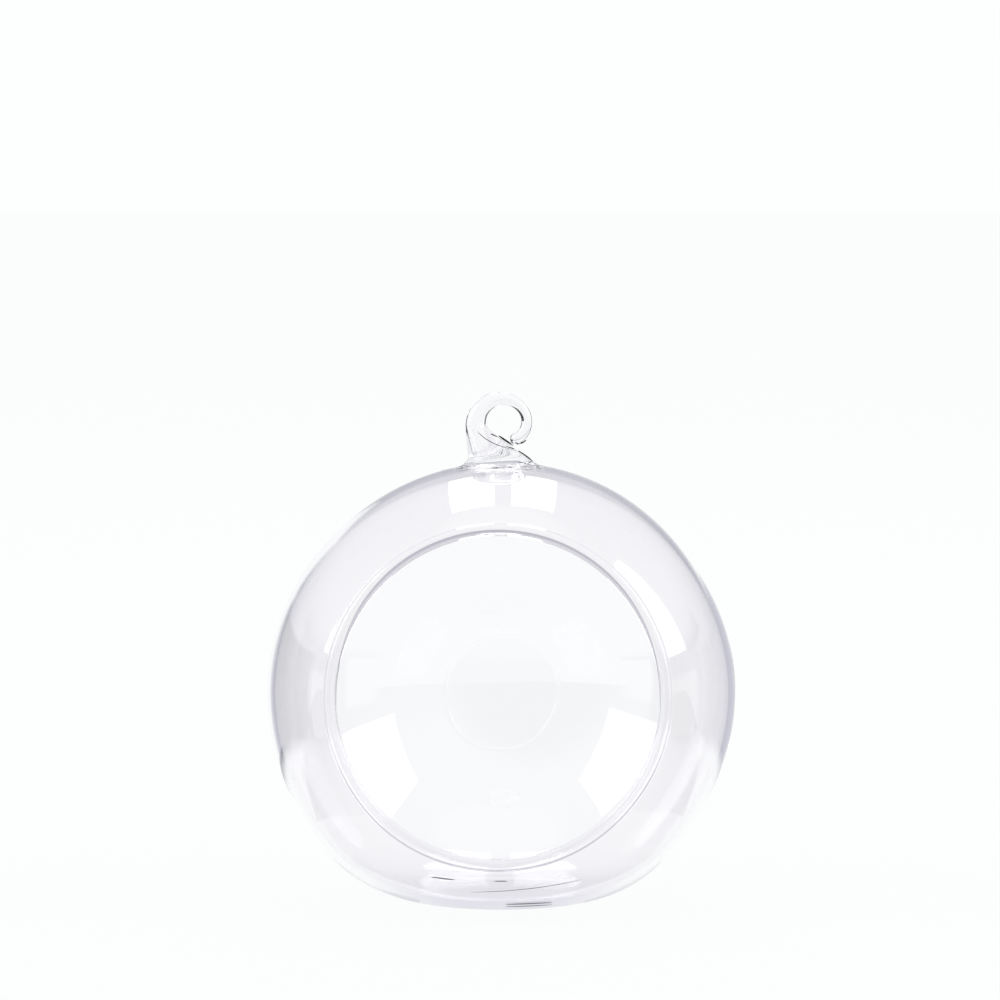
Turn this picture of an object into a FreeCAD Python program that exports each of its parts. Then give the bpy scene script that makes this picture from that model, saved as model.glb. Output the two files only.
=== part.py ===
# Hanging glass ball vase, in millimetres: one piece of clear blown glass.
#
# The ball has a soft flat foot, a round mouth with a melted bead for its rim, and a hook that is
# drawn up from the hot glass of the crown and curled into an eye. The origin is the middle of the
# foot, on the surface that the vase stands on. +Z is up, the mouth looks along -Y and tips up a
# little, and the eye is open along Y.

import FreeCAD
import Part
import math
import os

Vector = FreeCAD.Vector

# Ball and foot
BALL_DIAMETER = 120.0
WALL_THICKNESS = 1.8
FOOT_DIAMETER = 35.0  # the flat that touches the table
FOOT_RISE = 7.5  # how far the foot is pressed in from the full round
FLOOR_THICKNESS = 2.6  # the glass is thicker where it settled in the foot

# Mouth
MOUTH_DIAMETER = 79.9  # clear, inside the bead
BEAD_THICKNESS = 3.1
BEAD_BLEND = 1.4  # radius of the hollow between the bead and the wall
BLEND_SINK = 0.02  # how far that hollow runs out under the wall's surface
MOUTH_TILT = 5.0  # degrees that the mouth tips up

# Hook: a rod of round section on a round loop
LOOP_DIAMETER = 13.2  # the rod's centre line
LOOP_RISE = 9.1  # the loop's centre above the crown
LOOP_OFFSET = 0.2  # the loop's centre to the right of the ball's axis
ROD_THICKEST = 5.5  # where the rod leaves the gather
ROD_THINNEST = 2.7
THINNEST_ANGLE = 32.0  # degrees above the loop's right side
TIP_THICKNESS = 3.2
TIP_ANGLE = -54.0  # where the rod ends
TIP_CURL = 0.6  # how far the tip lies inside the loop's circle
BLOB_DIAMETER = 3.8  # the drop that the tip melts into, which joins it to the gather

# Gather: the neck of solid glass that the hook is drawn from
GATHER_WIDTH = 17.0
GATHER_DEPTH = 14.0
GATHER_OFFSET = 0.2  # its middle to the right of the ball's axis
FLARE_RADIUS = 2.5  # the round foot of the gather on the ball
FLARE_SINK = 0.15  # how far the flare's edge lies in the glass of the crown
SHOULDER_SOFTNESS = 0.08  # share of the gather's height in which it starts to widen

# Number of sections that carry the surface of the hook
FLARE_STEPS = 5
GATHER_STEPS = 5
LOOP_STEPS = 12

# Worked out from the sizes above
BALL_RADIUS = BALL_DIAMETER / 2
BALL_HEIGHT = BALL_RADIUS - FOOT_RISE  # the ball's centre above the table
CROWN_HEIGHT = BALL_HEIGHT + BALL_RADIUS
LOOP_CENTRE = Vector(LOOP_OFFSET, 0, CROWN_HEIGHT + LOOP_RISE)


def foot_edge_radius():
    """Radius of the arc that leaves the flat of the foot and runs into the full round."""
    foot_radius = FOOT_DIAMETER / 2
    return (BALL_RADIUS**2 - foot_radius**2 - BALL_HEIGHT**2) / (2 * FOOT_RISE)


def ball(radius, floor, edge_radius):
    """Solid of revolution: a ball round BALL_HEIGHT, flat at floor, with a tangent arc between."""
    centre_drop = BALL_HEIGHT - floor - edge_radius
    flat_radius = math.sqrt((radius - edge_radius) ** 2 - centre_drop**2)
    join_angle = math.atan2(flat_radius, centre_drop)

    def on_edge(angle):
        return Vector(flat_radius + edge_radius * math.sin(angle), 0,
                      floor + edge_radius * (1 - math.cos(angle)))

    def on_round(angle):
        return Vector(radius * math.sin(angle), 0, BALL_HEIGHT - radius * math.cos(angle))

    middle = Vector(0, 0, floor)
    top = on_round(math.pi)
    outline = [
        Part.makeLine(middle, on_edge(0)),
        Part.Arc(on_edge(0), on_edge(join_angle / 2), on_edge(join_angle)).toShape(),
        Part.Arc(on_round(join_angle), on_round((join_angle + math.pi) / 2), top).toShape(),
        Part.makeLine(top, middle),
    ]
    return Part.Face(Part.Wire(outline)).revolve(Vector(0, 0, 0), Vector(0, 0, 1), 360)


def mouth_placement():
    """Frame at the ball's centre whose Z axis looks out of the mouth."""
    tilt = FreeCAD.Rotation(Vector(1, 0, 0), 90 - MOUTH_TILT)
    return FreeCAD.Placement(Vector(0, 0, BALL_HEIGHT), tilt)


def bead_radius():
    """Radius of the circle that the bead's centre follows."""
    return (MOUTH_DIAMETER + BEAD_THICKNESS) / 2


def bead_reach():
    """Distance of the bead's circle from the ball's centre, with the bead centred on the wall."""
    return math.sqrt((BALL_RADIUS - WALL_THICKNESS / 2) ** 2 - bead_radius() ** 2)


def blend_arc(side):
    """Hollow arc that runs from the bead into the wall, outside it for side 1 and inside for -1."""
    bead_size = BEAD_THICKNESS / 2
    middle = BALL_RADIUS - WALL_THICKNESS / 2
    surface = middle + side * (WALL_THICKNESS / 2 - BLEND_SINK)
    reach = surface + side * BEAD_BLEND
    apart = (middle**2 + reach**2 - (bead_size + BEAD_BLEND) ** 2) / (2 * middle * reach)
    turn = math.asin(bead_radius() / middle) + math.acos(apart)
    away = Vector(math.sin(turn), 0, math.cos(turn))
    bead_centre = Vector(bead_radius(), 0, bead_reach())
    centre = away * reach
    on_wall = away * surface
    on_bead = bead_centre + (centre - bead_centre) * (bead_size / (bead_size + BEAD_BLEND))
    inward = (on_wall - centre) + (on_bead - centre)
    return on_wall, centre + inward.normalize() * BEAD_BLEND, on_bead


def rim():
    """Round bead that the cut edge melts into, with a hollow blend to each side of the wall."""
    out_wall, out_middle, out_bead = blend_arc(1)
    in_wall, in_middle, in_bead = blend_arc(-1)
    tilt = math.atan2(bead_reach(), bead_radius())
    bead_centre = Vector(bead_radius(), 0, bead_reach())
    front = bead_centre + Vector(-math.sin(tilt), 0, math.cos(tilt)) * (BEAD_THICKNESS / 2)
    outline = [
        Part.Arc(out_wall, out_middle, out_bead).toShape(),
        Part.Arc(out_bead, front, in_bead).toShape(),
        Part.Arc(in_bead, in_middle, in_wall).toShape(),
        Part.makeLine(in_wall, out_wall),
    ]
    ring = Part.Face(Part.Wire(outline)).revolve(Vector(0, 0, 0), Vector(0, 0, 1), 360)
    ring.Placement = mouth_placement()
    return ring


def mouth_cut():
    """Straight bore along the mouth's axis, whose cut edge lies wholly inside the rim."""
    in_wall = blend_arc(-1)[0]
    bore = Part.makeCylinder((bead_radius() + in_wall.x) / 2, BALL_DIAMETER)
    bore.Placement = mouth_placement()
    return bore


def tip_progress(angle):
    """0 from the gather round to the rod's thinnest place, then growing to 1 at the tip."""
    return max(0, (THINNEST_ANGLE - angle) / (THINNEST_ANGLE - TIP_ANGLE))


def rod_thickness(angle):
    """The rod thins out evenly from the gather, then swells a little towards its melted tip."""
    if angle < THINNEST_ANGLE:
        return ROD_THINNEST + (TIP_THICKNESS - ROD_THINNEST) * tip_progress(angle) ** 2
    middle = (ROD_THICKEST + ROD_THINNEST) / 2
    swell = (ROD_THICKEST - ROD_THINNEST) / 2
    return middle - swell * math.cos(math.radians(angle - THINNEST_ANGLE))


def section(centre, angle, width, depth):
    """Oval across the rod: width lies along the loop's radius at this angle, depth along Y."""
    turn = FreeCAD.Placement(centre, FreeCAD.Rotation(Vector(0, 1, 0), -angle))
    stretch = FreeCAD.Matrix()
    stretch.scale(width / 2, depth / 2, 1)
    oval = Part.Circle(Vector(0, 0, 0), Vector(0, 0, 1), 1).toShape()
    return Part.Wire(oval.transformGeometry(turn.toMatrix().multiply(stretch)))


def on_loop(angle):
    """Point of the rod's centre line, which curls inwards at the tip."""
    turn = math.radians(angle)
    reach = LOOP_DIAMETER / 2 - TIP_CURL * tip_progress(angle) ** 2
    return LOOP_CENTRE + Vector(math.cos(turn), 0, math.sin(turn)) * reach


def gather_base():
    """Height of the flare's edge, just inside the ball where the flare reaches furthest."""
    reach = max(abs(GATHER_OFFSET) + GATHER_WIDTH / 2, GATHER_DEPTH / 2) + FLARE_RADIUS
    return BALL_HEIGHT + math.sqrt(BALL_RADIUS**2 - reach**2) - FLARE_SINK


def gather_section(height, flare):
    """Level oval of the gather: its width opens from the rod's to its own on the way down."""
    left = on_loop(180)
    drop = (left.z - height) / (left.z - gather_base())
    start = SHOULDER_SOFTNESS
    opening = (math.hypot(drop, start) - start) / (math.hypot(1, start) - start)
    rod = rod_thickness(180)
    middle = left.x + (GATHER_OFFSET - left.x) * opening
    width = rod + (GATHER_WIDTH - rod) * opening
    depth = rod + (GATHER_DEPTH - rod) * opening
    return section(Vector(middle, 0, height), 180, width + 2 * flare, depth + 2 * flare)


def hook():
    """Gather and loop, carried through their sections from the ball to the drop at the rod's end."""
    base = gather_base()
    sections = []
    for step in range(FLARE_STEPS):
        turn = math.radians(90 * (1 - step / FLARE_STEPS))
        height = base + FLARE_RADIUS * (1 - math.sin(turn))
        sections.append(gather_section(height, FLARE_RADIUS * (1 - math.cos(turn))))
    flare_top = base + FLARE_RADIUS
    for step in range(GATHER_STEPS):
        height = flare_top + (LOOP_CENTRE.z - flare_top) * step / GATHER_STEPS
        sections.append(gather_section(height, 0))
    for step in range(LOOP_STEPS + 1):
        angle = 180 + (TIP_ANGLE - 180) * step / LOOP_STEPS
        thickness = rod_thickness(angle)
        sections.append(section(on_loop(angle), angle, thickness, thickness))

    blob = Part.makeSphere(BLOB_DIAMETER / 2, on_loop(TIP_ANGLE))
    return Part.makeLoft(sections, True).fuse(blob)


def glass_ball_vase():
    """Ball and hook in one, hollowed, opened at the mouth and melted round the rim."""
    edge_radius = foot_edge_radius()
    outside = ball(BALL_RADIUS, 0, edge_radius)
    inside = ball(BALL_RADIUS - WALL_THICKNESS, FLOOR_THICKNESS, edge_radius - WALL_THICKNESS)
    return outside.fuse(hook()).cut(inside).cut(mouth_cut()).fuse(rim()).removeSplitter()


os.makedirs("parts", exist_ok=True)
vase = glass_ball_vase()
vase.exportStep("parts/glass_ball_vase.step")
box = vase.BoundBox
print("solids", len(vase.Solids), "valid", vase.isValid(), "volume", round(vase.Volume))
print("size", round(box.XLength, 2), round(box.YLength, 2), round(box.ZLength, 2))
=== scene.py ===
import math

import bpy
import numpy as np
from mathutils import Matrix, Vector


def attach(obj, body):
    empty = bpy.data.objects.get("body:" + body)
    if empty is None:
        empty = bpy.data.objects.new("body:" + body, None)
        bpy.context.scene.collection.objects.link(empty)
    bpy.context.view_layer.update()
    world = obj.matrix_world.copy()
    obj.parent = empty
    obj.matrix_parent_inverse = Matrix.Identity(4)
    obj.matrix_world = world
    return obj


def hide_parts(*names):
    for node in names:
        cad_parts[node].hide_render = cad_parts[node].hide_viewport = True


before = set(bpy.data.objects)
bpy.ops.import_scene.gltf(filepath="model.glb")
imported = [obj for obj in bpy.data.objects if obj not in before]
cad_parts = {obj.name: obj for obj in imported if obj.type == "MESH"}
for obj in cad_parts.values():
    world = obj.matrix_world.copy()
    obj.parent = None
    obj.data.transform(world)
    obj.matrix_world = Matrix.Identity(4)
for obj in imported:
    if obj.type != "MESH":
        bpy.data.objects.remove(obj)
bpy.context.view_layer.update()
print("frame loaded")

mm = 0.001


def hexToLinear(hexColour):
    # each sRGB channel c: c / 12.92 below 0.04045, else ((c + 0.055) / 1.055) to the power 2.4
    values = [int(hexColour[i:i + 2], 16) / 255 for i in (1, 3, 5)]
    return [c / 12.92 if c <= 0.04045 else ((c + 0.055) / 1.055) ** 2.4 for c in values] + [1.0]


def addNode(tree, kind, settings=None, links=None):
    # settings are the node's own properties, links are its inputs: a socket or a plain value
    node = tree.nodes.new(kind)
    for name, value in (settings or {}).items():
        setattr(node, name, value)
    for name, value in (links or {}).items():
        if isinstance(value, bpy.types.NodeSocket):
            tree.links.new(value, node.inputs[name])
        else:
            node.inputs[name].default_value = value
    return node


# where the photographer stood
cameraSettings = {
    "ballCentre": (0.0, 0.0, 0.0525),  # metres, as are the distance and the clipping
    "distance": 1.2,
    "elevation": 6.0,  # degrees above the level of the ball's centre
    "lens": 168.7,
    "sensor": 36.0,
    "clip": (0.05, 100.0),
    "ballPixel": (500.9, 694.2),  # where the ball's centre lies in the 1000 px frame
    "frameSize": 1000,
}


def makeCamera(s):
    # it looks at the ball's centre and then turns by atan(pixels off the frame's middle / focal
    # length in pixels), so that the centre lands on its pixel
    camera = bpy.data.cameras.new("studioCamera")
    camera.lens, camera.sensor_width = s["lens"], s["sensor"]
    camera.clip_start, camera.clip_end = s["clip"]
    holder = bpy.data.objects.new("studioCamera", camera)
    bpy.context.collection.objects.link(holder)
    rise = math.radians(s["elevation"])
    x, y, z = s["ballCentre"]
    holder.location = (x, y - s["distance"] * math.cos(rise), z + s["distance"] * math.sin(rise))
    focal = s["lens"] / s["sensor"] * s["frameSize"]
    lift = math.atan((s["ballPixel"][1] - s["frameSize"] / 2) / focal)  # the ball sits low
    swing = math.atan((s["ballPixel"][0] - s["frameSize"] / 2) / focal)
    holder.rotation_euler = (math.pi / 2 - rise + lift, 0, swing)
    bpy.context.scene.camera = holder


makeCamera(cameraSettings)
print("camera set")

# the vase, in millimetres
vase = {
    "ballRadius": 60.0,
    "ballHeight": 52.5,  # the ball's centre above the floor
    "wall": 1.8,
    "floorThickness": 1.9,  # as even as the wall, because a thick floor draws dark crescents
    "footRadius": 17.5,
    "mouthRadius": 39.95,  # clear, inside the bead
    "beadThickness": 3.1,
    "beadBlend": 1.4,
    "mouthTilt": 5.0,
    "mouthYaw": 1.1,  # a little to the left
    "outerRings": 118,
    "innerRings": 112,
    "ringSpacing": 0.92,  # power that draws the rings together towards the bead
    "beadSteps": 26,
    "blendSteps": 6,
    "around": 256,
}

# hand-blown drift of the outline, seen from the front: cosine and sine amplitudes in millimetres
drift = {
    "offset": -0.42,
    "cosines": (-0.03, 0.07, 0.10, 0.06, 0.12, 0.08),
    "sines": (-0.04, 0.28, 0.07, -0.04, 0.10, -0.06),
    "fadeFrom": 0.45,  # radians up from straight below, where the foot stays true
    "fadeOver": 0.5,
}

# the hook and the gather that it is drawn from, in millimetres and degrees above the loop's right
hook = {
    "loopRadius": 6.6,
    "loopRise": 9.1,  # the loop's centre above the crown
    "loopOffset": 0.2,
    "rodThickest": 5.5,
    "rodThinnest": 2.7,
    "thinnestAngle": 32.0,
    "tipThickness": 3.2,
    "tipAngle": -42.0,
    "tipCurl": 1.4,
    "weldLength": 2.1,  # the tip runs on into the gather that it melted to
    "weldTurn": 42.0,  # degrees that it leans to the left of straight down
    "gatherWidth": 17.0,
    "gatherDepth": 14.0,
    "gatherOffset": 0.2,
    "flareRadius": 2.5,
    "flareUneven": 0.28,  # full on the left, and on the right it loses twice this share
    "shoulderSoftness": 0.08,
    "baseSink": 0.75,  # the gather's height counts from here under the crown
    "levelShare": 0.6,  # share of that height in which its rings turn level from the skin's slope
    "flareRings": 10,
    "gatherRings": 44,
    "loopRings": 50,
    "tipRings": 8,
    "around": 192,
}


def footedRadius(down, radius, floor, edgeRadius, height):
    # distance from the ball's centre to its skin, for an angle down from straight below:
    # the flat is (height - floor) / cos, then the foot's edge arc, then the ball's own radius
    drop = height - floor - edgeRadius
    flatRadius = math.sqrt((radius - edgeRadius) ** 2 - drop ** 2)
    join = math.atan2(flatRadius, drop)
    flatEnd = math.atan2(flatRadius, height - floor)
    along = flatRadius * np.sin(down) + drop * np.cos(down)
    arc = along + np.sqrt(np.maximum(along ** 2 - flatRadius ** 2 - drop ** 2 + edgeRadius ** 2, 0))
    lowest = 0.2  # keeps the flat's formula finite where it isn't used
    flat = (height - floor) / np.maximum(np.cos(down), lowest)
    return np.where(down > join, radius, np.where(down < flatEnd, flat, arc))


def driftAt(direction):
    # offset plus the sum of amplitude * cos(k * angle) and amplitude * sin(k * angle), k from 1,
    # with the angle in the front view; it fades towards the front and back poles and the foot
    angle = np.arctan2(direction[..., 2], direction[..., 0])
    total = np.full(angle.shape, drift["offset"])
    for k, (cosine, sine) in enumerate(zip(drift["cosines"], drift["sines"]), start=1):
        total = total + cosine * np.cos(k * angle) + sine * np.sin(k * angle)
    side = direction[..., 0] ** 2 + direction[..., 2] ** 2
    down = np.arccos(np.clip(-direction[..., 2], -1, 1))
    clear = np.clip((down - drift["fadeFrom"]) / drift["fadeOver"], 0, 1)
    return total * side * clear ** 2 * (3 - 2 * clear)


def vaseSkin(direction, depth):
    # point on or in the wall: depth 0 is the outer skin and 1 the inner skin, and values past
    # them stay in the same proportion, so that the bead follows the ball
    v = vase
    footRadius, height, radius = v["footRadius"], v["ballHeight"], v["ballRadius"]
    edge = (radius ** 2 - footRadius ** 2 - height ** 2) / (2 * (radius - height))
    down = np.arccos(np.clip(-direction[..., 2], -1, 1))
    outer = footedRadius(down, radius, 0.0, edge, height)
    inner = footedRadius(down, radius - v["wall"], v["floorThickness"], edge - v["wall"], height)
    reach = outer + (inner - outer) * depth + driftAt(direction)
    return direction * reach[..., None] + np.array([0, 0, height])


def mouthAxes():
    # unit vectors: out of the mouth, across it to the right, and up across it
    tilt, yaw = math.radians(vase["mouthTilt"]), math.radians(vase["mouthYaw"])
    level = math.cos(tilt)
    out = np.array([-math.sin(yaw) * level, -math.cos(yaw) * level, math.sin(tilt)])
    right = np.array([math.cos(yaw), -math.sin(yaw), 0.0])
    return out, right, np.cross(out, right) * -1


def wallProfile():
    # half section through the wall about the mouth's axis, as polar angle and distance from the
    # ball's centre: outer skin from the back to the bead, two blend arcs with the bead's arc
    # between them, and the inner skin back again
    v = vase
    bead = v["beadThickness"] / 2
    ring = v["mouthRadius"] + bead
    middle = v["ballRadius"] - v["wall"] / 2
    beadAngle = math.asin(ring / middle)
    beadCentre = middle * np.array([math.sin(beadAngle), math.cos(beadAngle)])

    def blend(side):
        # arc tangent to the skin and to the bead: its centre lies one blend radius off both
        reach = middle + side * (v["wall"] / 2 + v["beadBlend"])
        apart = (middle ** 2 + reach ** 2 - (bead + v["beadBlend"]) ** 2) / (2 * middle * reach)
        turn = beadAngle + math.acos(apart)
        centre = reach * np.array([math.sin(turn), math.cos(turn)])
        toSkin = -side * centre / reach
        toBead = (beadCentre - centre) / np.linalg.norm(beadCentre - centre)
        share = np.linspace(0, 1, v["blendSteps"] + 1)[:, None]
        spread = math.acos(float(np.clip(toSkin @ toBead, -1, 1)))
        arc = np.sin((1 - share) * spread) * toSkin + np.sin(share * spread) * toBead
        return turn, centre + arc / math.sin(spread) * v["beadBlend"]

    outTurn, outArc = blend(1)
    inTurn, inArc = blend(-1)
    start = math.atan2(*(outArc[-1] - beadCentre)[::-1])
    end = math.atan2(*(inArc[-1] - beadCentre)[::-1])
    sweep = (end - start) % (2 * math.pi)
    turns = start + sweep * np.linspace(0, 1, v["beadSteps"] + 1)[1:-1]
    beadArc = beadCentre + bead * np.stack([np.cos(turns), np.sin(turns)], axis=1)
    edge = np.concatenate([outArc, beadArc, inArc[::-1]])
    edgeAngle = np.arctan2(edge[:, 0], edge[:, 1])
    edgeReach = np.hypot(edge[:, 0], edge[:, 1])

    def skinAngles(first, count):
        # angle = pi - (pi - first) * share to the power of the spacing
        share = np.arange(1, count) / count
        return math.pi - (math.pi - first) * share ** v["ringSpacing"]

    outAngles = skinAngles(outTurn, v["outerRings"])
    inAngles = skinAngles(inTurn, v["innerRings"])[::-1]
    angles = np.concatenate([outAngles, edgeAngle, inAngles])
    reaches = np.concatenate([np.full(len(outAngles), v["ballRadius"]), edgeReach,
                              np.full(len(inAngles), v["ballRadius"] - v["wall"])])
    return angles, (v["ballRadius"] - reaches) / v["wall"]


def ballGrid():
    # direction = out * cos(polar) + (right * cos(turn) + up * sin(turn)) * sin(polar)
    out, right, up = mouthAxes()
    angles, depths = wallProfile()
    turns = np.linspace(0, 2 * math.pi, vase["around"], endpoint=False)
    polar = angles[:, None, None]
    across = right * np.cos(turns)[:, None] + up * np.sin(turns)[:, None]
    direction = out * np.cos(polar) + across[None] * np.sin(polar)
    points = vaseSkin(direction, np.broadcast_to(depths[:, None], direction.shape[:2]))
    poles = vaseSkin(np.stack([-out, -out]), np.array([0.0, 1.0]))
    return points, poles


def tipProgress(angle):
    # 0 as far as the thinnest place, then even in the angle up to 1 at the tip
    span = hook["thinnestAngle"] - hook["tipAngle"]
    return np.maximum(0, (hook["thinnestAngle"] - angle) / span)


def rodThickness(angle):
    # thickest at the gather, thinnest at one angle by a cosine, then swelling by a square of the
    # tip's progress
    middle = (hook["rodThickest"] + hook["rodThinnest"]) / 2
    swell = (hook["rodThickest"] - hook["rodThinnest"]) / 2
    rod = middle - swell * np.cos(np.radians(angle - hook["thinnestAngle"]))
    tipSwell = hook["tipThickness"] - hook["rodThinnest"]
    tip = hook["rodThinnest"] + tipSwell * tipProgress(angle) ** 2
    return np.where(angle < hook["thinnestAngle"], tip, rod)


def loopPoint(angle):
    # circle about the loop's centre, drawn in towards it at the tip
    crown = vase["ballHeight"] + vase["ballRadius"]
    centre = np.array([hook["loopOffset"], 0, crown + hook["loopRise"]])
    reach = hook["loopRadius"] - hook["tipCurl"] * tipProgress(angle) ** 2
    turn = np.radians(angle)
    away = np.stack([np.cos(turn), np.zeros(turn.shape), np.sin(turn)], axis=-1)
    return centre + away * reach[..., None]


def crownHeight(x, y):
    # height of the outer skin over a point near the top: z = sqrt(radius^2 - x^2 - y^2) gives its
    # direction, and the skin's own formula the height
    flat = np.stack([x, y, np.sqrt(vase["ballRadius"] ** 2 - x ** 2 - y ** 2)], axis=-1)
    direction = flat / np.linalg.norm(flat, axis=-1, keepdims=True)
    return vaseSkin(direction, np.zeros(direction.shape[:-1]))[..., 2]


def hookRings():
    # ovals from the ball up the gather, round the loop and closed over the tip, with equal turns
    h = hook
    turns = np.linspace(0, 2 * math.pi, h["around"], endpoint=False)
    cosine, sine = np.cos(turns), np.sin(turns)
    left = loopPoint(np.array([180.0]))[0]  # where the rod leaves the gather
    rod = float(rodThickness(np.array([180.0]))[0])

    # flare: a quarter circle that leaves the ball flat and ends upright
    quarter = np.radians(90 * np.linspace(0, 1, h["flareRings"] + 1))[:-1]
    flareRise = h["flareRadius"] * (1 - np.cos(quarter))
    flareOut = h["flareRadius"] * (1 - np.sin(quarter))
    base = float(crownHeight(np.array(0.0), np.array(0.0))) - h["baseSink"]
    full = left[2] - base
    share = np.linspace(0, 1, h["gatherRings"] + 1)
    gatherRise = h["flareRadius"] + (full - h["flareRadius"]) * share
    rise = np.concatenate([flareRise, gatherRise])
    out = np.concatenate([flareOut, np.zeros(len(gatherRise))])

    # gather: its oval opens downwards from the rod's size to its own, straight but for a soft
    # shoulder, as (hypot(drop, soft) - soft) / (hypot(1, soft) - soft)
    drop = 1 - rise / full
    soft = h["shoulderSoftness"]
    opening = (np.hypot(drop, soft) - soft) / (math.hypot(1, soft) - soft)
    middle = left[0] + (h["gatherOffset"] - left[0]) * opening
    halfWidth = (rod + (h["gatherWidth"] - rod) * opening) / 2
    halfDepth = (rod + (h["gatherDepth"] - rod) * opening) / 2 + out
    uneven = 1 - h["flareUneven"] * (1 - cosine)
    x = middle[:, None] - (halfWidth[:, None] + out[:, None] * uneven) * cosine
    y = halfDepth[:, None] * sine
    skin = crownHeight(x, y)
    level = np.clip(rise / (h["levelShare"] * full), 0, 1)[:, None]
    level = level ** 2 * (3 - 2 * level)
    z = (skin + rise[:, None]) * (1 - level) + (base + rise[:, None]) * level
    gather = np.stack([x, y, z], axis=-1)

    # loop: circles across the centre line
    angles = np.linspace(180, h["tipAngle"], h["loopRings"] + 1)[1:]
    centres = loopPoint(angles)
    radii = rodThickness(angles) / 2
    bends = np.radians(angles)
    outward = np.stack([np.cos(bends), np.zeros(len(angles)), np.sin(bends)], axis=-1)
    side = np.array([0.0, 1.0, 0.0])

    # tip: the last circle shrinks over a round end, which leans down into the gather
    lean = math.radians(h["weldTurn"])
    ahead = np.array([-math.sin(lean), 0, -math.cos(lean)]) * h["weldLength"]
    close = np.radians(90 * np.arange(1, h["tipRings"]) / h["tipRings"])
    centres = np.concatenate([centres, centres[-1] + ahead * np.sin(close)[:, None]])
    radii = np.concatenate([radii, radii[-1] * np.cos(close)])
    outward = np.concatenate([outward, np.repeat(outward[-1:], len(close), axis=0)])
    loop = (centres[:, None] + radii[:, None, None]
            * (outward[:, None] * cosine[None, :, None] + side * sine[None, :, None]))
    apex = centres[len(angles) - 1] + ahead
    return np.concatenate([gather, loop]), apex


def gridFaces(rows, columns, start=0):
    # quads between neighbouring rings, closed round the last column
    row, column = np.meshgrid(np.arange(rows - 1), np.arange(columns), indexing="ij")
    following = (column + 1) % columns
    corners = [row * columns + column, (row + 1) * columns + column,
               (row + 1) * columns + following, row * columns + following]
    return np.stack(corners, axis=-1).reshape(-1, 4) + start


def fanFaces(ring, apex, flip):
    # triangles from one ring to its pole
    following = np.roll(ring, -1)
    order = [ring, following] if flip else [following, ring]
    return np.stack(order + [np.full(len(ring), apex)], axis=-1)


def zipFaces(loop, loopAngles, ring, ringAngles):
    # strip between two loops whose points have rising angles: each edge of one loop joins the
    # point of the other loop that comes last before the edge's end
    loopNext, ringNext = np.roll(loop, -1), np.roll(ring, -1)
    loopEnd = np.append(loopAngles[1:], loopAngles[0] + 2 * math.pi)
    ringEnd = np.append(ringAngles[1:], ringAngles[0] + 2 * math.pi)
    atRing = np.searchsorted(ringAngles, loopEnd % (2 * math.pi), side="left") - 1
    atLoop = np.searchsorted(loopAngles, ringEnd % (2 * math.pi), side="right") - 1
    first = np.stack([loopNext, loop, ring[atRing]], axis=-1)
    second = np.stack([ring, ringNext, loop[atLoop]], axis=-1)
    return np.concatenate([first, second])


# painted reflection: dark strokes that stand for seams in the glass reflecting the dark room,
# each by its start, middle, end and thickness in millimetres: six at the gather and the tip,
# three in the crown and four by the foot
paintedDarkStrokes = [
    ((-6.0, -2.4, 119.9), (-1.9, -3.6, 116.85), (4.2, -1.3, 114.6), 0.20),
    ((-2.8, -1.7, 119.1), (-1.8, -1.4, 118.7), (-0.9, -0.7, 118.2), 0.55),
    ((-0.6, 0.0, 118.75), (1.2, 0.0, 117.5), (3.2, 0.0, 116.15), 0.50),
    ((1.3, -2.5, 116.0), (2.3, -2.1, 115.7), (3.4, -1.5, 115.4), 0.45),
    ((4.3, 0.0, 114.9), (6.2, 0.0, 113.6), (8.2, 0.0, 112.1), 0.55),
    ((3.6, 0.0, 117.3), (5.1, 0.0, 116.85), (6.5, 0.0, 117.7), 0.40),
    ((-15.6, 4.0, 109.4), (-14.0, 4.0, 109.75), (-12.5, 4.0, 110.1), 0.36),
    ((-11.5, -2.5, 110.35), (-10.0, -2.5, 110.65), (-8.2, -2.5, 110.9), 0.50),
    ((4.1, -4.0, 111.3), (6.3, -4.0, 111.1), (8.5, -4.0, 110.85), 0.40),
    ((-8.2, -37.0, 7.3), (8.0, -38.2, 8.6), (20.0, -36.5, 10.2), 0.22),
    ((1.0, -29.0, 2.7), (7.0, -28.5, 2.7), (13.0, -26.5, 2.75), 0.90),
    ((-17.4, -39.0, 11.3), (-14.4, -39.9, 11.05), (-11.2, -40.6, 10.8), 0.42),
    ((-1.8, -42.0, 10.6), (0.0, -42.1, 10.6), (1.6, -42.0, 10.6), 0.32),
]
markShape = {
    "steps": 22,
    "around": 10,
    "fullness": 0.4,  # power of its profile: lower is blunter at the ends
}


# one dark stroke of painted reflection, for a seam in the glass that reflects the dark room
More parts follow.
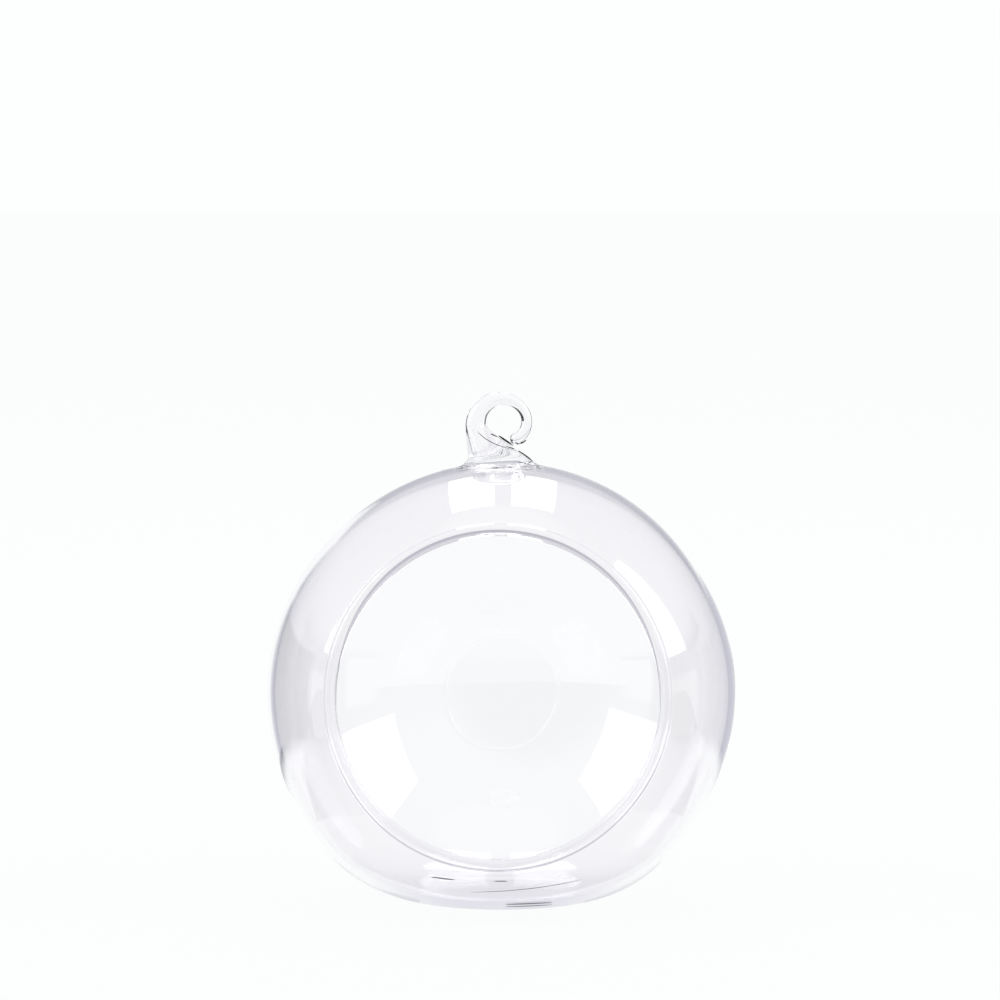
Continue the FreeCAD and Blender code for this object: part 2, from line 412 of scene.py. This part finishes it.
def paintedDarkStroke(begin, middle, end, thickness):
    # centre = quadratic curve through the three points, with share t from 0 to 1, and radius =
    # thickness / 2 * (4 * t * (1 - t)) to the power of the fullness
    steps, around = markShape["steps"], markShape["around"]
    begin, middle, end = np.array(begin), np.array(middle), np.array(end)
    handle = 2 * middle - (begin + end) / 2
    share = (np.arange(1, steps) / steps)[:, None]
    centre = (1 - share) ** 2 * begin + 2 * share * (1 - share) * handle + share ** 2 * end
    along = (1 - share) * (handle - begin) + share * (end - handle)
    along = along / np.linalg.norm(along, axis=1, keepdims=True)
    side = np.cross(along, np.array([0.0, 0.0, 1.0]))
    side = side / np.linalg.norm(side, axis=1, keepdims=True)
    over = np.cross(side, along)
    radius = thickness / 2 * (4 * share * (1 - share)) ** markShape["fullness"]
    turns = np.linspace(0, 2 * math.pi, around, endpoint=False)[None, :, None]
    circle = side[:, None] * np.cos(turns) + over[:, None] * np.sin(turns)
    rings = centre[:, None] + radius[:, None] * circle
    vertices = np.concatenate([rings.reshape(-1, 3), begin[None], end[None]])
    quads = gridFaces(steps - 1, around)
    first, last = len(vertices) - 2, len(vertices) - 1
    fans = np.concatenate([fanFaces(np.arange(around), first, True),
                           fanFaces((steps - 2) * around + np.arange(around), last, False)])
    return vertices, quads, fans


def makeVase():
    # one closed mesh: the wall's grid with a hole in the crown, the hook's rings zipped into the
    # hole, a fan at each pole and the dark strokes of painted reflection
    points, poles = ballGrid()
    rows, columns = points.shape[:2]
    vertices = points.reshape(-1, 3)
    quads = gridFaces(rows, columns)

    # the outer skin's faces under the hook make room for it
    flareWidth = hook["gatherWidth"] / 2 + hook["flareRadius"]
    flareDepth = hook["gatherDepth"] / 2 + hook["flareRadius"]
    across = (vertices[:, 0] - hook["gatherOffset"]) / flareWidth
    deep = vertices[:, 1] / flareDepth
    inOval = across ** 2 + deep ** 2 < 1.0
    isOuter = np.arange(len(vertices)) < (vase["outerRings"] - 1) * columns
    isCrown = (vertices[:, 2] > vase["ballHeight"]) & isOuter
    dropped = (inOval & isCrown)[quads].any(axis=1)
    removed, quads = quads[dropped], quads[~dropped]

    # edges that only one removed face has are the hole's edge, in order of their angle
    edges = np.stack([removed, np.roll(removed, -1, axis=1)], axis=-1).reshape(-1, 2)
    keys = np.sort(edges, axis=1)
    _, where, counts = np.unique(keys, axis=0, return_index=True, return_counts=True)
    loop = np.unique(edges[where[counts == 1]])
    loopAngle = np.arctan2(deep[loop], -across[loop]) % (2 * math.pi)
    order = np.argsort(loopAngle)
    loop, loopAngle = loop[order], loopAngle[order]

    rings, apex = hookRings()
    hookRows, hookColumns = rings.shape[:2]
    start = len(vertices)
    vertices = np.concatenate([vertices, rings.reshape(-1, 3), poles, apex[None]])
    hookQuads = gridFaces(hookRows, hookColumns, start)
    firstRing = start + np.arange(hookColumns)
    ringAngle = np.linspace(0, 2 * math.pi, hookColumns, endpoint=False)
    strip = zipFaces(loop, loopAngle, firstRing, ringAngle)
    lastRing = start + (hookRows - 1) * hookColumns + np.arange(hookColumns)
    backPole, innerPole, tipPole = len(vertices) - 3, len(vertices) - 2, len(vertices) - 1
    fans = [fanFaces(np.arange(columns), backPole, True),
            fanFaces((rows - 1) * columns + np.arange(columns), innerPole, False),
            fanFaces(lastRing, tipPole, False)]
    triangles = np.concatenate([strip] + fans)

    # the points under the hook that no face uses any more go, and the rest are numbered again
    inFaces = np.concatenate([quads.ravel(), hookQuads.ravel(), triangles.ravel()])
    used = np.isin(np.arange(len(vertices)), inFaces)
    number = np.cumsum(used) - 1
    vertices = vertices[used]
    faces = number[quads].tolist() + number[hookQuads].tolist() + number[triangles].tolist()
    glassFaces = len(faces)
    for mark in paintedDarkStrokes:
        markVertices, markQuads, markFans = paintedDarkStroke(*mark)
        faces += (markQuads + len(vertices)).tolist() + (markFans + len(vertices)).tolist()
        vertices = np.concatenate([vertices, markVertices])
    mesh = bpy.data.meshes.new("blownGlassBall")
    mesh.from_pydata((vertices * mm).tolist(), [], faces)
    mesh.materials.append(clearBlownGlass(glassLook))
    mesh.materials.append(paintedSeamReflection(seamReflectionLook))
    isMark = np.arange(len(faces)) >= glassFaces
    mesh.polygons.foreach_set("material_index", isMark.astype(np.int32))
    mesh.validate()
    mesh.polygons.foreach_set("use_smooth", np.ones(len(mesh.polygons), dtype=bool))
    piece = bpy.data.objects.new("blown_glass_ball", mesh)
    bpy.context.collection.objects.link(piece)
    return piece


# borosilicate glass, blown and fire-polished: clear, with sharp reflections and faint waves from
# the blowing
glassLook = {
    "colour": "#FDFCFE",
    "ior": 1.47,
    "roughness": 0.0,
    "waveWidth": 22.0,  # millimetres from crest to crest
    "waveDepth": 0.02,
    "waveDetail": 1.0,
}


def clearBlownGlass(s):
    material = bpy.data.materials.new("clearBlownGlass")
    material.use_nodes = True
    tree = material.node_tree
    tree.nodes.clear()
    place = addNode(tree, "ShaderNodeTexCoord")
    waves = addNode(tree, "ShaderNodeTexNoise", {"noise_dimensions": "3D"},
                    {"Vector": place.outputs["Object"], "Scale": 1 / (s["waveWidth"] * mm),
                     "Detail": s["waveDetail"]})
    bump = addNode(tree, "ShaderNodeBump", None,
                   {"Height": waves.outputs["Fac"], "Distance": s["waveDepth"] * mm,
                    "Strength": 1.0})
    glass = addNode(tree, "ShaderNodeBsdfPrincipled", None,
                    {"Base Color": hexToLinear(s["colour"]), "Roughness": s["roughness"],
                     "IOR": s["ior"], "Transmission Weight": 1.0,
                     "Normal": bump.outputs["Normal"]})
    addNode(tree, "ShaderNodeOutputMaterial", None, {"Surface": glass.outputs["BSDF"]})
    return material


# painted reflection for seams in the glass that mirror the dark room: dull, grainy, nearly black
seamReflectionLook = {
    "dark": "#0E0E12",
    "pale": "#34343C",
    "roughness": 0.7,
    "grain": 0.3,  # millimetres
    "grainDetail": 2.0,
}


def paintedSeamReflection(s):
    material = bpy.data.materials.new("paintedSeamReflection")
    material.use_nodes = True
    tree = material.node_tree
    tree.nodes.clear()
    place = addNode(tree, "ShaderNodeTexCoord")
    grain = addNode(tree, "ShaderNodeTexNoise", {"noise_dimensions": "3D"},
                    {"Vector": place.outputs["Object"], "Scale": 1 / (s["grain"] * mm),
                     "Detail": s["grainDetail"]})
    mixed = addNode(tree, "ShaderNodeMix", {"data_type": "RGBA"},
                    {0: grain.outputs["Fac"], 6: hexToLinear(s["dark"]), 7: hexToLinear(s["pale"])})
    scale = addNode(tree, "ShaderNodeBsdfPrincipled", None,
                    {"Base Color": mixed.outputs[2], "Roughness": s["roughness"]})
    addNode(tree, "ShaderNodeOutputMaterial", None, {"Surface": scale.outputs["BSDF"]})
    return material


vasePiece = makeVase()
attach(vasePiece, "root")
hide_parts("glass_ball_vase")
print("glass made")


# a pale sweep behind, a dark room in front, and what stands round the vase out of the picture
studio = {
    "floorSize": 200.0,
    "floorDrop": 0.0002,  # metres under the foot
    "floorGlow": 0.965,
    "floorAlbedo": 0.03,
    "backdrop": "#FDFFFE",
    "backLow": "#B8B8C2",
    "backHigh": "#DCDCE1",
    "backPales": (0.10, 0.50),  # heights on a unit dome between which the low colour turns high
    "frontLow": "#5A5A5A",
    "frontHigh": "#9A9A9C",
    "frontPales": (0.60, 0.95),
    "darkest": (-0.30, -0.95, 0.0),  # the dark room lies in front and a little to the left
    "darkEdge": (0.90, 0.62),  # cosines off that direction, from all dark to none
    "ceiling": "#FCFDFD",
    "ceilingEdge": (0.88, 0.95),
    "horizon": (0.065, 0.12),  # the backdrop's white ends 4 to 7 degrees above the level
    "sweepEdge": (-0.45, -0.25),  # and reaches round to the sides as far as this depth
}


def makeFloor(s):
    # a plain square that glows evenly, so that it runs into the backdrop without a line
    half = s["floorSize"] / 2
    mesh = bpy.data.meshes.new("studioFloor")
    corners = [(-half, -half, 0), (half, -half, 0), (half, half, 0), (-half, half, 0)]
    mesh.from_pydata(corners, [], [(0, 1, 2, 3)])
    floor = bpy.data.objects.new("studioFloor", mesh)
    bpy.context.collection.objects.link(floor)
    floor.location.z = -s["floorDrop"]
    material = bpy.data.materials.new("paleFloor")
    material.use_nodes = True
    tree = material.node_tree
    tree.nodes.clear()
    shade = s["floorAlbedo"]
    paint = addNode(tree, "ShaderNodeBsdfPrincipled", None,
                    {"Base Color": (shade, shade, shade, 1), "Roughness": 1.0,
                     "Specular IOR Level": 0.0, "Emission Color": hexToLinear(s["backdrop"]),
                     "Emission Strength": s["floorGlow"]})
    addNode(tree, "ShaderNodeOutputMaterial", None, {"Surface": paint.outputs["BSDF"]})
    floor.data.materials.append(material)


def makeWorld(s):
    # by direction: behind and to the sides the backdrop's white reaches up to the horizon, with
    # lavender grey over it; in front the room is dark grey; both get paler upwards, to the ceiling
    world = bpy.data.worlds.new("studioWorld")
    bpy.context.scene.world = world
    world.use_nodes = True
    tree = world.node_tree
    tree.nodes.clear()
    place = addNode(tree, "ShaderNodeTexCoord")
    parts = addNode(tree, "ShaderNodeSeparateXYZ", None, {"Vector": place.outputs["Generated"]})
    height, depth = parts.outputs["Z"], parts.outputs["Y"]
    smooth, colour = {"interpolation_type": "SMOOTHSTEP"}, {"data_type": "RGBA"}
    low, high = s["horizon"]
    horizon = addNode(tree, "ShaderNodeMapRange", smooth,
                      {"Value": height, "From Min": low, "From Max": high})
    low, high = s["backPales"]
    backRise = addNode(tree, "ShaderNodeMapRange", smooth,
                       {"Value": height, "From Min": low, "From Max": high})
    low, high = s["frontPales"]
    frontRise = addNode(tree, "ShaderNodeMapRange", smooth,
                        {"Value": height, "From Min": low, "From Max": high})
    ahead = addNode(tree, "ShaderNodeVectorMath", {"operation": "DOT_PRODUCT"},
                    {0: place.outputs["Generated"], 1: s["darkest"]})
    low, high = s["darkEdge"]
    behind = addNode(tree, "ShaderNodeMapRange", smooth,
                     {"Value": ahead.outputs["Value"], "From Min": low, "From Max": high})
    back = addNode(tree, "ShaderNodeMix", colour,
                   {0: backRise.outputs["Result"], 6: hexToLinear(s["backLow"]),
                    7: hexToLinear(s["backHigh"])})
    front = addNode(tree, "ShaderNodeMix", colour,
                    {0: frontRise.outputs["Result"], 6: hexToLinear(s["frontLow"]),
                     7: hexToLinear(s["frontHigh"])})
    room = addNode(tree, "ShaderNodeMix", colour,
                   {0: behind.outputs["Result"], 6: front.outputs[2], 7: back.outputs[2]})
    low, high = s["ceilingEdge"]
    overhead = addNode(tree, "ShaderNodeMapRange", smooth,
                       {"Value": height, "From Min": low, "From Max": high})
    dome = addNode(tree, "ShaderNodeMix", colour,
                   {0: overhead.outputs["Result"], 6: room.outputs[2],
                    7: hexToLinear(s["ceiling"])})
    low, high = s["sweepEdge"]
    sweep = addNode(tree, "ShaderNodeMapRange", smooth,
                    {"Value": depth, "From Min": low, "From Max": high,
                     "To Min": 1.0, "To Max": horizon.outputs["Result"]})
    whole = addNode(tree, "ShaderNodeMix", colour,
                    {0: sweep.outputs["Result"], 6: hexToLinear(s["backdrop"]), 7: dome.outputs[2]})
    glow = addNode(tree, "ShaderNodeBackground", None, {"Color": whole.outputs[2], "Strength": 1.0})
    addNode(tree, "ShaderNodeOutputWorld", None, {"Surface": glow.outputs["Background"]})


# soft lamps: two upright ones at the sides and two level ones overhead, with sizes in metres
softboxes = {
    "right": {"place": (1.2, -0.15, 0.86), "facing": (-1, 0, 0), "size": (1.02, 1.07)},
    "left": {"place": (-1.2, -0.22, 0.86), "facing": (1, 0, 0), "size": (0.88, 1.07)},
    "topRight": {"place": (0.201, 1.08, 1.25), "facing": (0, 0, -1), "size": (0.294, 1.16)},
    "topLeft": {"place": (-0.201, 1.08, 1.25), "facing": (0, 0, -1), "size": (0.294, 1.16)},
}
softboxRadiance = 2.4


def makeSoftbox(name, s):
    # power = radiance * pi * width * height, so that all shine alike
    light = bpy.data.lights.new(name, "AREA")
    light.shape = "RECTANGLE"
    width, height = s["size"]
    light.size, light.size_y = width, height
    light.energy = softboxRadiance * math.pi * width * height
    holder = bpy.data.objects.new(name, light)
    bpy.context.collection.objects.link(holder)
    holder.location = s["place"]
    holder.rotation_euler = Vector(s["facing"]).to_track_quat("-Z", "Y").to_euler()


# grey cards that stand close behind the vase on both sides and give the ball's edges their soft
# bands; turns are degrees from straight behind
cards = {
    "turns": {"right": (27.0, 80.0), "left": (-36.0, -84.0)},
    "distance": 0.21,
    "height": 0.095,
    "steps": 24,
    "inner": "#CACAD4",
    "outer": {"right": "#AEAEB8", "left": "#303038"},
    "fadeCentre": (0.0, 0.21, 0.0),
    "fadeStart": 0.13,
    "fadeEnd": 0.25,
}

# a tall white card at the left one's inner end, for the pale band outside the ball's dark left line
ghostCard = {
    "turns": {"left": (-20.0, -36.0)},
    "distance": 0.21,
    "height": 0.15,
    "steps": 8,
    "inner": "#FAFCFC",
    "outer": {"left": "#FAFCFC"},
    "fadeCentre": (0.0, 0.0, 0.0),
    "fadeStart": 0.1,
    "fadeEnd": 0.2,
}

# flags that stand round the vase, for rays that went straight through one solid piece of glass,
# which is the hook: the dark ones give it dark outlines, and the white one behind keeps the eye's
# upper edge pale
flagStand = {
    "distance": 0.09,
    "steps": 24,
    "fadeCentre": (0.0, 0.0, 0.12),
    "fadeStart": 0.2,
    "fadeEnd": 0.3,
    "isFlag": True,
}
flags = {
    "right": {"turns": (47.0, 108.0), "foot": 0.072, "height": 0.046, "colour": "#050506"},
    "rightHigh": {"turns": (24.0, 108.0), "foot": 0.118, "height": 0.13, "colour": "#050506"},
    "left": {"turns": (-46.0, -108.0), "foot": 0.072, "height": 0.17, "colour": "#2C2C30"},
    "back": {"turns": (-40.0, 31.0), "foot": 0.131, "height": 0.5, "colour": "#FAFCFC"},
}

# level sheets, each a part of a flat ring round the vase, which shape only what the glass reflects:
# the floor darkens towards the cards' feet and under the vase, and painted shade darkens the floor
# in front and to the sides
aprons = {
    "turns": {"right": (24.0, 105.0), "left": (-24.0, -105.0)},
    "reach": (0.14, 0.21),
    "lift": 0.0002,
    "steps": 24,
    "inner": "#FAFCFC",
    "outer": {"right": "#BEBEC8", "left": "#8A8A96"},
    "fadeCentre": (0.0, 0.0, 0.0),
    "fadeStart": 0.155,
    "fadeEnd": 0.21,
}
# painted shade: the floor in front and to the sides, darker the further it lies from the vase
paintedFrontShade = {
    "turns": {"front": (78.0, 282.0)},
    "reach": (0.075, 90.0),
    "lift": 0.0004,
    "steps": 72,
    "inner": "#BEBEC0",
    "outer": {"front": "#3C3C3E"},
    "fadeCentre": (0.0, 0.0, 0.0),
    "fadeStart": 0.09,
    "fadeEnd": 0.30,
}
contactShade = {
    "turns": {"under": (0.0, 360.0)},
    "reach": (0.0004, 0.044),
    "centre": (0.0, -0.024),
    "lift": 0.0001,
    "steps": 64,
    "inner": "#E4E4EB",
    "outer": {"under": "#FAFCFC"},
    "fadeCentre": (0.0, -0.024, 0.0),
    "fadeStart": 0.010,
    "fadeEnd": 0.044,
}


# a ray meets a sheet after so many crossings of a glass skin and so many reflections
rayLimits = {
    "crossings": 2.5,  # in at one side of a solid piece and out at the other, and no more
    "reflections": 0.5,  # fewer is none, and more is at least one
}


def glowSheet(name, points, s, outer):
    # a sheet through rows of points that shines in the inner colour, and in the outer one further
    # from the fade's centre; the camera looks through it, a flag is there only for rays straight
    # through solid glass, and any other sheet only for rays that the glass reflected
    rows, columns = points.shape[:2]
    row, column = np.meshgrid(np.arange(rows - 1), np.arange(columns - 1), indexing="ij")
    start = row * columns + column
    corners = [start, start + 1, start + columns + 1, start + columns]
    faces = np.stack(corners, axis=-1).reshape(-1, 4)
    mesh = bpy.data.meshes.new(name)
    mesh.from_pydata(points.reshape(-1, 3).tolist(), [], faces.tolist())
    sheet = bpy.data.objects.new(name, mesh)
    bpy.context.collection.objects.link(sheet)
    material = bpy.data.materials.new(name)
    material.use_nodes = True
    tree = material.node_tree
    tree.nodes.clear()
    place = addNode(tree, "ShaderNodeTexCoord")
    away = addNode(tree, "ShaderNodeVectorMath", {"operation": "DISTANCE"},
                   {0: place.outputs["Object"], 1: s["fadeCentre"]})
    share = addNode(tree, "ShaderNodeMapRange", {"interpolation_type": "SMOOTHSTEP"},
                    {"Value": away.outputs["Value"], "From Min": s["fadeStart"],
                     "From Max": s["fadeEnd"]})
    mixed = addNode(tree, "ShaderNodeMix", {"data_type": "RGBA"},
                    {0: share.outputs["Result"], 6: hexToLinear(s["inner"]), 7: hexToLinear(outer)})
    glow = addNode(tree, "ShaderNodeEmission", None, {"Color": mixed.outputs[2], "Strength": 1.0})
    clear = addNode(tree, "ShaderNodeBsdfTransparent")
    path = addNode(tree, "ShaderNodeLightPath")
    reflections = path.outputs["Glossy Depth"]
    if s.get("isFlag"):
        solid = addNode(tree, "ShaderNodeMath", {"operation": "LESS_THAN"},
                        {0: path.outputs["Transmission Depth"], 1: rayLimits["crossings"]})
        direct = addNode(tree, "ShaderNodeMath", {"operation": "LESS_THAN"},
                         {0: reflections, 1: rayLimits["reflections"]})
        seen = addNode(tree, "ShaderNodeMath", {"operation": "MULTIPLY"},
                       {0: solid.outputs[0], 1: direct.outputs[0]})
    else:
        seen = addNode(tree, "ShaderNodeMath", {"operation": "GREATER_THAN"},
                       {0: reflections, 1: rayLimits["reflections"]})
    shown = addNode(tree, "ShaderNodeMixShader", None,
                    {0: seen.outputs[0], 1: clear.outputs[0], 2: glow.outputs[0]})
    addNode(tree, "ShaderNodeOutputMaterial", None, {"Surface": shown.outputs[0]})
    mesh.materials.append(material)
    sheet.visible_camera = False
    sheet.visible_diffuse = False
    sheet.visible_shadow = False
    return sheet


def makeCard(name, side, s):
    # upright arc: x = distance * sin(turn) and y = distance * cos(turn), from the foot upwards
    turns = np.radians(np.linspace(*s["turns"][side], s["steps"] + 1))
    low = np.stack([np.sin(turns), np.cos(turns), np.zeros(turns.shape)], axis=-1) * s["distance"]
    low = low + np.array([0, 0, s.get("foot", 0.0)])
    points = np.stack([low, low + np.array([0, 0, s["height"]])])
    return glowSheet(side + name, points, s, s["outer"][side])


def makeFlag(side, s):
    # a card of one colour on the flags' stand
    makeCard("Flag", side, {**flagStand, "turns": {side: s["turns"]}, "foot": s["foot"],
                            "height": s["height"], "inner": s["colour"],
                            "outer": {side: s["colour"]}})


def makeRing(name, side, s):
    # x = centre + reach * sin(turn), y = centre + reach * cos(turn), level at the lift
    turns = np.radians(np.linspace(*s["turns"][side], s["steps"] + 1))
    reaches = np.array(s["reach"])[:, None]
    x, y = s.get("centre", (0.0, 0.0))
    height = np.full((2, len(turns)), s["lift"])
    points = np.stack([x + reaches * np.sin(turns), y + reaches * np.cos(turns), height], axis=-1)
    return glowSheet(side + name, points, s, s["outer"][side])


makeFloor(studio)
makeWorld(studio)
for name, box in softboxes.items():
    makeSoftbox(name + "Softbox", box)
for side in ("right", "left"):
    makeCard("Card", side, cards)
    makeRing("Apron", side, aprons)
makeCard("Ghost", "left", ghostCard)
for side, flag in flags.items():
    makeFlag(side, flag)
makeRing("Shade", "under", contactShade)
makeRing("Cloth", "front", paintedFrontShade).visible_transmission = False  # it is there for reflections

scene = bpy.context.scene
scene.view_settings.view_transform = "Standard"
scene.cycles.max_bounces = 96  # light goes round in the rim and between the walls many times
scene.cycles.glossy_bounces = 80
scene.cycles.transmission_bounces = 64
print("studio set")
